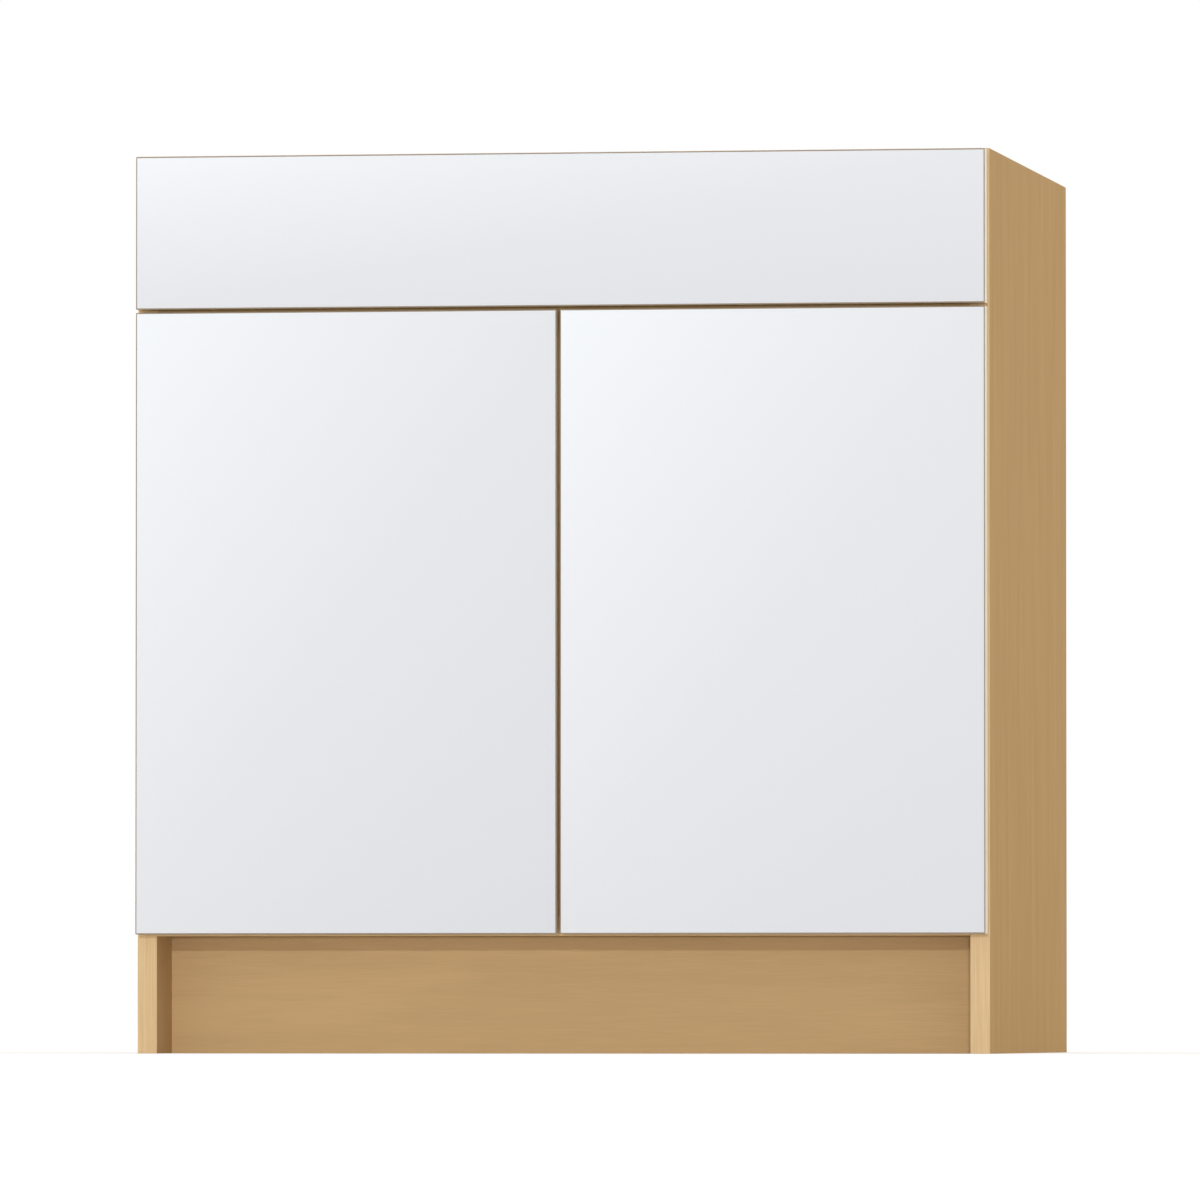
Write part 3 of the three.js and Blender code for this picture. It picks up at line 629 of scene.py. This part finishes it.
# A cross-recess wood screw. Its head's underside is at the origin, and its tip points down.
def screw(kind):
    size, shape = screwSizes[kind], screwShape
    head, rise, shank, length = size["head"], size["rise"], size["shank"], size["length"]
    crown = [(head * math.sin(t), rise * (shape["crown"] + (1 - shape["crown"]) * math.cos(t)))
             for t in quarterTurn(6)]
    core = shank - shape["threadRise"]
    profile = [(0, rise), *crown, (head, shape["rim"] * rise), (head - shape["rimBevel"], 0), (core, 0),
               (core, -length + shape["tip"] * shank), (0, -length)]
    arm, width = shape["recessArm"] * head, shape["recessWidth"] * head / 2
    cross = []
    for a, b in ((1, 0), (0, 1), (-1, 0), (0, -1)):
        cross += [Vector((arm * a + width * b, arm * b - width * a)),
                  Vector((arm * a - width * b, arm * b + width * a)),
                  Vector((width * (a - b), width * (a + b)))]
    tool = prism(cross, rise * (1 - shape["recessDepth"]), rise + past)
    ridge = thread(core, shape["threadRise"], size["pitch"], -length + shank, -size["pitch"])
    return joined(carved(lathe(profile), tool), ridge)


screws = {kind: screw(kind) for kind in screwSizes}


# A screw at a point, its head facing along one axis, turned at random
def placedScrew(kind, at, axis):
    angle = random.uniform(0, math.pi)
    cos, sin = math.cos(angle), math.sin(angle)

    def place(a, b, c):
        turned = [a * cos - b * sin, a * sin + b * cos]
        turned.insert(axis, c)
        return tuple(value + start for value, start in zip(turned, at))

    return mapped(screws[kind], place)


# Hinges are drawn as u from the side panel into the cabinet, v from the box's front to the wall, z up.
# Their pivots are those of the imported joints.
panelX = -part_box("left_side_panel")[1].x
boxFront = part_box("left_side_edge_band")[0].y
pivot = {}
for joint in frame["joints"]:
    name = joint["name"].split("_", 1)[1]
    x, y = joint["pos_m"][:2]
    pivot[name] = ((panelX - abs(x)) / mm, (y - boxFront) / mm)


hair = 0.01  # millimetres that keep a round end's two arcs from meeting in one point


# A slot, with round ends unless its corners have a radius of their own
def slotOutline(start, end, half, radius=None):
    radius = radius or half - hair
    return rounded([(end, -half, radius), (end, half, radius), (start, half, radius),
                    (start, -half, radius)])


links = {
    "eye": 2, "pin": 1, "play": 0.15, "head": 1.6, "headRise": 0.45, "roundSteps": 24,
    "innerBend": (-0.4025, -9.373), "innerBendRadius": 2, "innerSheet": 2.4, "innerWidth": 8,
    "innerEdge": 0.3, "outerBends": ((1.8775, -12.9), (8.5975, -12.1)), "outerBendRadius": 2.5,
    # the open end is round, and a hair wider than the strap that runs into it
    "outerEnd": (18.0675, -4.62), "outerEndWider": 1.001, "outerWidth": 11, "outerEdge": 0.15,
    "cheek": 1.2, "cheekHeight": 2, "web": 0.8, "webLength": 6, "webInset": 0.2,
}


# The outline of a strap along a path, round at its bends, with an eye at each end
def strapOutline(path, half, startEye, endEye, bend):
    line = rounded([(*place, bend if 0 < i < len(path) - 1 else 0) for i, place in enumerate(path)])
    left, right = [], []
    for here, before, after in zip(line[1:-1], line, line[2:]):
        mitre = ((here - before).normalized() + (after - here).normalized()).normalized()
        reach = half / mitre.dot((after - here).normalized())
        left.append(here + Vector((-mitre.y, mitre.x)) * reach)
        right.append(here - Vector((-mitre.y, mitre.x)) * reach)

    def eye(middle, toward, radius):
        mouth = math.degrees(math.asin(half / radius))
        heading = math.degrees(math.atan2(toward.y - middle.y, toward.x - middle.x))
        return circle(*middle, radius, links["roundSteps"], heading + mouth, 360 - 2 * mouth)

    return right + eye(line[-1], line[-2], endEye) + left[::-1] + eye(line[0], line[1], startEye)


# A rivet or pin between two heights, with a low round head at either end, both or none
def rivet(place, low, high, footHead=True, topHead=True):
    head, rise, radius = links["head"], links["headRise"], links["pin"]
    dome = [(head * math.sin(t), rise * math.cos(t)) for t in quarterTurn(3)]
    top = [(0, high + rise), *[(r, high + h) for r, h in dome]] if topHead else [(0, high)]
    foot = [*[(r, low - h) for r, h in dome[::-1]], (0, low - rise)] if footHead else [(0, low)]
    shell = lathe([*top, (radius, high), (radius, low), *foot], links["roundSteps"])
    return mapped(shell, lambda a, b, c: (a + place[0], b + place[1], c))


# Onto the side panel: an outline drawn in v and z, raised along u
def raised(shell):
    return mapped(shell, lambda v, z, u: (u, v, z))


# corners are radii, in the order in which the outline is drawn
plate = {
    "middle": 37, "length": 44, "width": 19, "wing": 14, "wingReach": 24, "sheet": 4.4, "edge": 0.7,
    "corners": (3, 2, 6.5), "ridgeFoot": 1, "ridgeTop": 12.4, "ridgeLength": 34, "ridgeWidth": 11.3,
    "ridgeCorner": 2.5, "ridgeEdge": 0.8, "pocket": 2.15, "screwSpacing": 32, "seat": 4.7, "seatDepth": 0.5,
}


# A die-cast cross, its wings screwed to the panel, with the ridge that the arm straddles
def hingePlate():
    middle, wing, reach = plate["middle"], plate["wing"] / 2, plate["wingReach"]
    half, wide, sheet = plate["length"] / 2, plate["width"] / 2, plate["sheet"]
    quarter = list(zip((half, wing, wing), (wide, wide, reach), plate["corners"]))
    corners = [
        *quarter,
        *[(-a, b, r) for a, b, r in reversed(quarter)],
        *[(-a, -b, r) for a, b, r in quarter],
        *[(a, -b, r) for a, b, r in reversed(quarter)],
    ]
    base = prism([p + Vector((middle, 0)) for p in rounded(corners)], gap, sheet, plate["edge"])
    ridge = slotOutline(middle - plate["ridgeLength"] / 2, middle + plate["ridgeLength"] / 2,
                        plate["ridgeWidth"] / 2, plate["ridgeCorner"])
    whole = combined(base, prism(ridge, plate["ridgeFoot"], plate["ridgeTop"], plate["ridgeEdge"]), "UNION")
    pockets = [prism(circle(v, 0, plate["pocket"]), sheet, plate["ridgeTop"] + past) for v in arm["screws"]]
    seats = [prism(circle(middle, z, plate["seat"]), sheet - plate["seatDepth"], sheet + past)
             for z in (-plate["screwSpacing"] / 2, plate["screwSpacing"] / 2)]
    return raised(carved(whole, *pockets, *seats))


arm = {
    "nose": (17.7505, -6.02), "noseRadius": 2.1, "noseSteps": 16, "top": 20.4, "foot": 5.4,
    "footStart": 27, "front": -12, "end": 64, "webStart": 2, "throat": 2.4, "width": 13.8, "sheet": 1.1,
    "bend": 2.2, "mouthDepth": 6, "corners": (4, 2.5, 6, 1), "screws": (29, 47), "slot": (41, 53),
    "slotHalf": 2.4, "keyhole": 57.5, "keyholeHalf": 2.6, "dent": (7, 22), "dentHalf": 3.4,
    "dentCorner": 2, "dentDepth": 0.4,
}


# A channel folded from sheet, its walls cut back to a nose that holds the outer link's rivets
def hingeArm():
    top, wide, sheet, bend = arm["top"], arm["width"] / 2, arm["sheet"], arm["bend"]
    nose, throat, foot, front, end = arm["nose"], arm["throat"], arm["foot"], arm["front"], arm["end"]
    webCorner, endCorner, footCorner, throatCorner = arm["corners"]
    inner = pivot["inner_link_pivot"]
    # the channel is longer and deeper than the outline that it is cut to
    deep = foot - past
    fold = rounded([
        (deep, -wide, 0), (top, -wide, bend), (top, wide, bend), (deep, wide, 0),
        (deep, wide - sheet, 0), (top - sheet, wide - sheet, bend - sheet),
        (top - sheet, sheet - wide, bend - sheet), (deep, sheet - wide, 0),
    ])
    channel = mapped(prism(fold, front, end + 2 * past), lambda u, z, v: (u, v, z))
    outline = rounded([
        *[(p.x, p.y, 0) for p in circle(*nose, arm["noseRadius"], arm["noseSteps"], 180, 180)],
        (top, arm["webStart"], webCorner),
        (top, end, endCorner),
        (foot, end, endCorner),
        (foot, arm["footStart"], footCorner),
        (inner[0] - throat, inner[1] + throat / 2, throatCorner),
        (inner[0] - throat, inner[1] - throat / 2, throatCorner),
    ])
    folded = combined(channel, prism(outline, -wide - past, wide + past), "INTERSECT")
    mouthFoot, mouthTop, mouthFront = top - arm["mouthDepth"], top + 3 * past, front - 2 * past
    mouth = rounded([(mouthFoot, mouthFront, 0), (mouthTop, mouthFront, 0), (mouthTop, arm["webStart"], 0),
                     (mouthFoot, arm["webStart"], 0)])
    dent = slotOutline(*arm["dent"], arm["dentHalf"], arm["dentCorner"])
    slot = slotOutline(*arm["slot"], arm["slotHalf"])
    keyhole = slotOutline(arm["keyhole"], end + 5 * past, arm["keyholeHalf"])
    folded = carved(
        folded,
        prism(mouth, sheet - wide, wide - sheet),
        raised(prism(dent, top - arm["dentDepth"], top + 2 * past)),
        raised(prism(slot, top - sheet - past, top + 2 * past)),
        raised(prism(keyhole, top - sheet - past, top + 2 * past)),
    )
    return joined(
        folded,
        rivet(inner, -wide, wide),
        rivet(nose, -wide, sheet - wide, topHead=False),
        rivet(nose, wide - sheet, wide, footHead=False),
    )


# A bent strap with an eye at each end
def innerLink():
    ends = [pivot["inner_link_pivot"], pivot["door_hinge"]]
    outline = strapOutline([ends[0], links["innerBend"], ends[1]], links["innerSheet"] / 2, links["eye"],
                           links["eye"], links["innerBendRadius"])
    holes = [circle(*end, links["pin"] + links["play"], links["roundSteps"]) for end in ends]
    half = links["innerWidth"] / 2
    return prism(outline, -half, half, links["innerEdge"], holes)


# Two cheeks with a web folded between them at the open end
def outerLink():
    start, end = pivot["outer_link_pivot"], Vector(links["outerEnd"])
    half, high = links["outerWidth"] / 2, links["cheekHeight"] / 2
    outline = strapOutline([start, *links["outerBends"], end], high, links["eye"],
                           high * links["outerEndWider"], links["outerBendRadius"])
    hole = circle(*start, links["pin"] + links["play"], links["roundSteps"])
    back = (Vector(links["outerBends"][1]) - end).normalized()
    aside = Vector((-back.y, back.x))
    web = [end + aside * (high - links["web"]), end + aside * high,
           end + aside * high + back * links["webLength"],
           end + aside * (high - links["web"]) + back * links["webLength"]]
    foot = prism(outline, -half, links["cheek"] - half, links["outerEdge"], [hole])
    top = prism(outline, half - links["cheek"], half, links["outerEdge"], [hole])
    whole = combined(foot, prism(web, links["webInset"] - half, half - links["webInset"]), "UNION")
    return combined(whole, top, "UNION")


cup = {
    "middle": 5.0375, "doorBack": -2, "radius": 17.5, "wall": 0.7, "depth": 13.1, "floor": 0.8,
    "corner": 2, "flange": 1.2, "flangeEdge": 0.35, "near": -9, "far": 20, "shoulder": 18.5,
    "halfWidth": 29.4, "lobe": (2.6, 16.4), "flangeCorners": (2, 4.5, 6), "screwOffset": 9.5,
    "screwSpacing": 45, "gate": 8.9, "roundSteps": 72,
}


# A deep-drawn bowl under a pressed flange, open towards the door's edge, with its two pins
def hingeCup():
    middle, radius, wall, steps = cup["middle"], cup["radius"], cup["wall"], cup["roundSteps"]
    rim, bottom = cup["doorBack"], cup["doorBack"] - cup["depth"]
    flangeTop = rim + cup["flange"]
    nearCorner, lobeCorner, farCorner = cup["flangeCorners"]
    upper = [(cup["near"], cup["shoulder"], nearCorner), (cup["lobe"][0], cup["halfWidth"], lobeCorner),
             (cup["lobe"][1], cup["halfWidth"], lobeCorner), (cup["far"], cup["shoulder"], farCorner)]
    corners = upper + [(a, -b, r) for a, b, r in reversed(upper)]
    outline = [p + Vector((middle, 0)) for p in rounded(corners)]
    gate = rounded([(middle - radius - past, -cup["gate"], 0), (middle, -cup["gate"], 0),
                    (middle, cup["gate"], 0), (middle - radius - past, cup["gate"], 0)])
    flange = combined(prism(outline, rim + gap, flangeTop, cup["flangeEdge"]),
                      prism(circle(middle, 0, radius, steps), rim, flangeTop, cup["flangeEdge"]), "UNION")
    flange = carved(flange, prism(circle(middle, 0, radius - wall, steps), rim - past, flangeTop + past),
                    prism(gate, rim - past, flangeTop + past))

    def corner(radius, edge, height):
        return [(radius - edge + edge * math.sin(t), height + edge - edge * math.cos(t))
                for t in quarterTurn(5, 0)]

    inside, floor = radius - wall, bottom + cup["floor"]
    bowl = lathe([(0, bottom), *corner(radius, cup["corner"], bottom), (radius, rim), (inside, rim),
                  *corner(inside, cup["corner"] - wall, floor)[::-1], (0, floor)], steps)
    bowl = mapped(bowl, lambda a, b, c: (a + middle, b, c))
    pins = []
    for place in (pivot["door_hinge"], pivot["outer_link_pivot"]):
        reach = math.sqrt((radius - wall / 2) ** 2 - (place[0] - middle) ** 2)
        pins.append(rivet(place, -reach, reach, footHead=False, topHead=False))
    return joined(mapped(joined(flange, bowl), lambda u, z, v: (u, v, z)), *pins)


hingeParts = {
    "plate": hingePlate(),
    "arm": hingeArm(),
    "inner_link": innerLink(),
    "outer_link": outerLink(),
    "cup": hingeCup(),
}
plateScrewU = plate["sheet"] - plate["seatDepth"]
cupScrewU, cupScrewV = cup["middle"] + cup["screwOffset"], cup["doorBack"] + cup["flange"]
# where a part's screws are, and the axis that their heads face along
hingeScrews = {
    "plate": ([(plateScrewU, plate["middle"], way * plate["screwSpacing"] / 2) for way in (-1, 1)], axisX),
    "arm": ([(arm["top"], v, 0) for v in arm["screws"]], axisX),
    "cup": ([(cupScrewU, cupScrewV, way * cup["screwSpacing"] / 2) for way in (-1, 1)], axisY),
}


def addHinge(side, level):
    sign = sides[side]
    bodies = {"plate": "cabinet", "arm": "cabinet", "inner_link": side + "_inner_links",
              "outer_link": side + "_outer_links", "cup": side + "_door"}
    low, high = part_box(f"{side}_{level}_hinge_plate")
    origin = (sign * panelX, boxFront, (low.z + high.z) / 2)

    def onSide(shell):
        return mapped(shell, lambda u, v, z: (-sign * u, v, z))

    for part, shell in hingeParts.items():
        node = f"{side}_{level}_hinge_{part}"
        addPiece(pieceName(node), onSide(shell), nickelSteel, bodies[part], [node], origin)
        if part in hingeScrews:
            places, axis = hingeScrews[part]
            placed = joined(*[placedScrew(part, place, axis) for place in places])
            addPiece(pieceName(node) + "Screws", onSide(placed), nickelSteel, bodies[part],
                     at=origin)


for side in sides:
    for level in levels:
        addHinge(side, level)
print("hinges made")


# Corner braces are drawn from the corner: a across, b deep, c up from the brace's top
brace = {
    "top": -1.5, "leg": 78, "corner": 16, "sheet": 3.2, "flange": 24, "nip": 5, "lap": 0.5,
    "tipCorner": 2, "webCorner": 4, "wallTip": 1, "wallCorner": 2,
    "hole": 4.5, "holeAt": 27, "boss": 7.2, "bossDepth": 8, "edge": 0.5, "wallEdge": 0.4,
    "ribs": (13, 44), "ribSheet": 2, "ribReach": 18, "ribDrop": 20, "ribEdge": 0.2,
    "screws": (62, 26), "screwDrop": 12,
}


def cornerBrace():
    leg, corner, sheet, drop = brace["leg"], brace["corner"], brace["sheet"], brace["flange"]
    lap, middle, reach = brace["lap"], brace["holeAt"], brace["nip"] + past
    spot = circle(middle, middle, brace["hole"])
    tip, bend = brace["tipCorner"], brace["webCorner"]
    web = prism(rounded([(lap, lap, 0), (leg - lap, lap, tip), (leg - lap, corner, bend),
                         (corner, leg - lap, bend), (lap, leg - lap, tip)]),
                -sheet, 0, brace["edge"], [spot])
    boss = prism(circle(middle, middle, brace["boss"]), -brace["bossDepth"], -sheet / 2, brace["edge"],
                 [spot])
    wallTip, wallCorner = brace["wallTip"], brace["wallCorner"]
    walls = prism(rounded([(0, 0, 0), (leg, 0, 0), (leg, sheet, wallTip), (sheet, sheet, wallCorner),
                           (sheet, leg, wallTip), (0, leg, 0)]), -drop, -lap, brace["wallEdge"])
    nip = prism(rounded([(leg - reach, -drop - past, 0), (leg + past, -drop - past, 0),
                         (leg + past, reach - drop, 0)]), -past, sheet + past)
    nip = mapped(nip, lambda a, c, b: (a, b, c))
    walls = carved(walls, nip, mapped(nip, lambda a, b, c: (b, a, c)))
    rib = prism(rounded([(sheet - lap, lap - sheet, 0), (brace["ribReach"], lap - sheet, 0),
                         (sheet - lap, -brace["ribDrop"], 0)]), 0, brace["ribSheet"], brace["ribEdge"])
    ribs = [mapped(rib, lambda b, c, a, start=start: (a + start, b, c)) for start in brace["ribs"]]
    ribs += [mapped(one, lambda a, b, c: (b, a, c)) for one in ribs]
    whole = combined(web, boss, "UNION")
    for shell in (walls, *ribs):
        whole = combined(whole, shell, "UNION")
    return whole


braceShell = cornerBrace()
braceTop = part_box("sink_rail")[1].z / mm + brace["top"]
# where each pair of corners is, and which way is into the cabinet
braceCorners = {
    "front": (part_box("sink_rail")[1].y / mm + gap, 1),
    "rear": (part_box("back_panel")[0].y / mm - gap, -1),
}


def addBrace(side, end):
    sign = sides[side]
    cornerY, into = braceCorners[end]
    node = f"{side}_{end}_corner_brace"

    def inCorner(shell):
        return mapped(shell, lambda a, b, c: (sign * (panelX / mm - gap - a), cornerY + into * b,
                                              braceTop + c))

    addPiece(pieceName(node), inCorner(braceShell), nylon, "cabinet", [node])
    placed = []
    for along in brace["screws"]:
        placed.append(placedScrew("brace", (brace["sheet"], along, -brace["screwDrop"]), axisX))
        placed.append(placedScrew("brace", (along, brace["sheet"], -brace["screwDrop"]), axisY))
    addPiece(pieceName(node) + "Screws", inCorner(joined(*placed)), zincSteel, "cabinet")


for side in sides:
    for end in braceCorners:
        addBrace(side, end)
print("corner braces made")


bumper = {"radius": 5, "height": 1.8, "lip": 0.5, "widestAt": 0.6, "bevel": 0.2, "roundSteps": 40}


# A dome on a low bulging lip, its base on the back of the front that it is stuck to
def bumperDome():
    radius, height, lip, bevel = bumper["radius"], bumper["height"], bumper["lip"], bumper["bevel"]
    crown = [((radius - bevel) * math.sin(t), lip + (height - lip) * math.cos(t))
             for t in quarterTurn(10)]
    turned = lathe([(0, height), *crown, (radius, lip * bumper["widestAt"]), (radius - bevel, 0), (0, 0)],
                   bumper["roundSteps"])
    return mapped(turned, lambda a, b, c: (a, c, b))


dome = bumperDome()


def addBumper(node, body):
    low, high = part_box(node)
    middle = (low + high) / 2
    addPiece(pieceName(node) + "Dome", dome, clearPad, body, [node],
             (middle.x, low.y, middle.z))


# Driven through the sink rail into the false front, its head on the rail's back
def addFrontScrew(node):
    low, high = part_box(node)
    middle = (low + high) / 2
    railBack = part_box("sink_rail")[1].y + gap * mm
    addPiece(pieceName(node), placedScrew("front", (0, 0, 0), axisY), zincSteel, "cabinet",
             [node], (middle.x, railBack, middle.z))


bumperBodies = {f"false_front_{level}_{side}_bumper": "cabinet" for level in levels for side in sides}
bumperBodies |= {f"{side}_door_{level}_bumper": side + "_door" for level in levels for side in sides}
for node, body in bumperBodies.items():
    addBumper(node, body)
for number in range(1, 5):
    addFrontScrew(f"false_front_screw_{number}")
print("bumpers and screws made")


light = {
    "world": 0.6,
    # level on a surface that faces it, azimuth, elevation and width in degrees
    "key": (0.175, 0, 9.1, 1),
    "front": (0.18, 9, 1, 2),  # low enough to reach the rail through the gap under the false front
    "right": (0.16, 95, 20, 40),
    "left": (0.2, -95, 20, 40),
    "back": (0.2, 180, 20, 40),
}


# A light or camera that has its back along a direction
def addAimed(name, data, back, at=(0, 0, 0)):
    made = bpy.data.objects.new(name, data)
    made.location = at
    made.rotation_mode = "QUATERNION"
    made.rotation_quaternion = back.to_track_quat("Z", "Y")
    scene.collection.objects.link(made)
    return made


def addSun(name, level, azimuth, elevation, width):
    data = bpy.data.lights.new(name, "SUN")
    data.energy, data.angle = level * math.pi, math.radians(width)
    a, e = math.radians(azimuth), math.radians(elevation)
    addAimed(name, data, Vector((math.sin(a) * math.cos(e), -math.cos(a) * math.cos(e), math.sin(e))))


# 1 for what the camera sees, also by reflection or through glass, and 0 for what only lights
def seenShare(tree):
    path = addNode(tree, "LightPath")
    seen = addNode(tree, "Math",
                   links={0: path.outputs["Is Camera Ray"], 1: path.outputs["Is Glossy Ray"]},
                   operation="MAXIMUM")
    return addNode(tree, "Math", links={0: seen, 1: path.outputs["Is Transmission Ray"]},
                   operation="MAXIMUM")


def addWorld():
    world = bpy.data.worlds.new("studio")
    world.use_nodes = True
    tree = world.node_tree
    tree.nodes.clear()
    strength = addNode(tree, "MapRange", {"To Min": light["world"], "To Max": 1}, {0: seenShare(tree)})
    back = addNode(tree, "Background", {"Color": (1, 1, 1, 1)}, {"Strength": strength})
    addNode(tree, "OutputWorld", links={"Surface": back})
    scene.world = world


floor = {"color": "#e6e6e6", "reach": 60, "drop": 0.05, "glow": 0.4}  # metres, but the drop in millimetres


# A matt sheet that looks white and keeps the shadow
def addFloor():
    reach = floor["reach"]
    made = looseObject("floor", ([(-reach, -reach, 0), (reach, -reach, 0), (reach, reach, 0),
                                  (-reach, reach, 0)], [[0, 1, 2, 3]]))
    made.location.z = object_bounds()[0].z - floor["drop"] * mm
    material, tree = startMaterial("paleStudioFloor")
    diffuse = addNode(tree, "BsdfDiffuse", {"Color": linear(floor["color"])})
    strength = addNode(tree, "MapRange", {"To Max": floor["glow"]}, {0: seenShare(tree)})
    glow = addNode(tree, "Emission", links={"Strength": strength})
    shader = addNode(tree, "AddShader", links={0: diffuse, 1: glow})
    made.data.materials.append(finishMaterial(material, shader))


camera = {
    # degrees, metres, and the lens in millimetres
    "azimuth": 9.03, "distance": 13, "height": 0.03, "target": (-0.009, 0, 0.45), "lens": 392.5,
    "farthest": 200,
}


def addCamera():
    data = bpy.data.cameras.new("camera")
    data.lens, data.clip_end = camera["lens"], camera["farthest"]
    azimuth = math.radians(camera["azimuth"])
    target = Vector(camera["target"])
    place = Vector((target.x + camera["distance"] * math.sin(azimuth),
                    -camera["distance"] * math.cos(azimuth), camera["height"]))
    scene.camera = addAimed("camera", data, place - target, place)


addWorld()
for lamp in ("key", "front", "right", "left", "back"):
    addSun(lamp, *light[lamp])
addFloor()
addCamera()
scene.view_settings.view_transform = "Standard"
print("floor, light and camera placed")
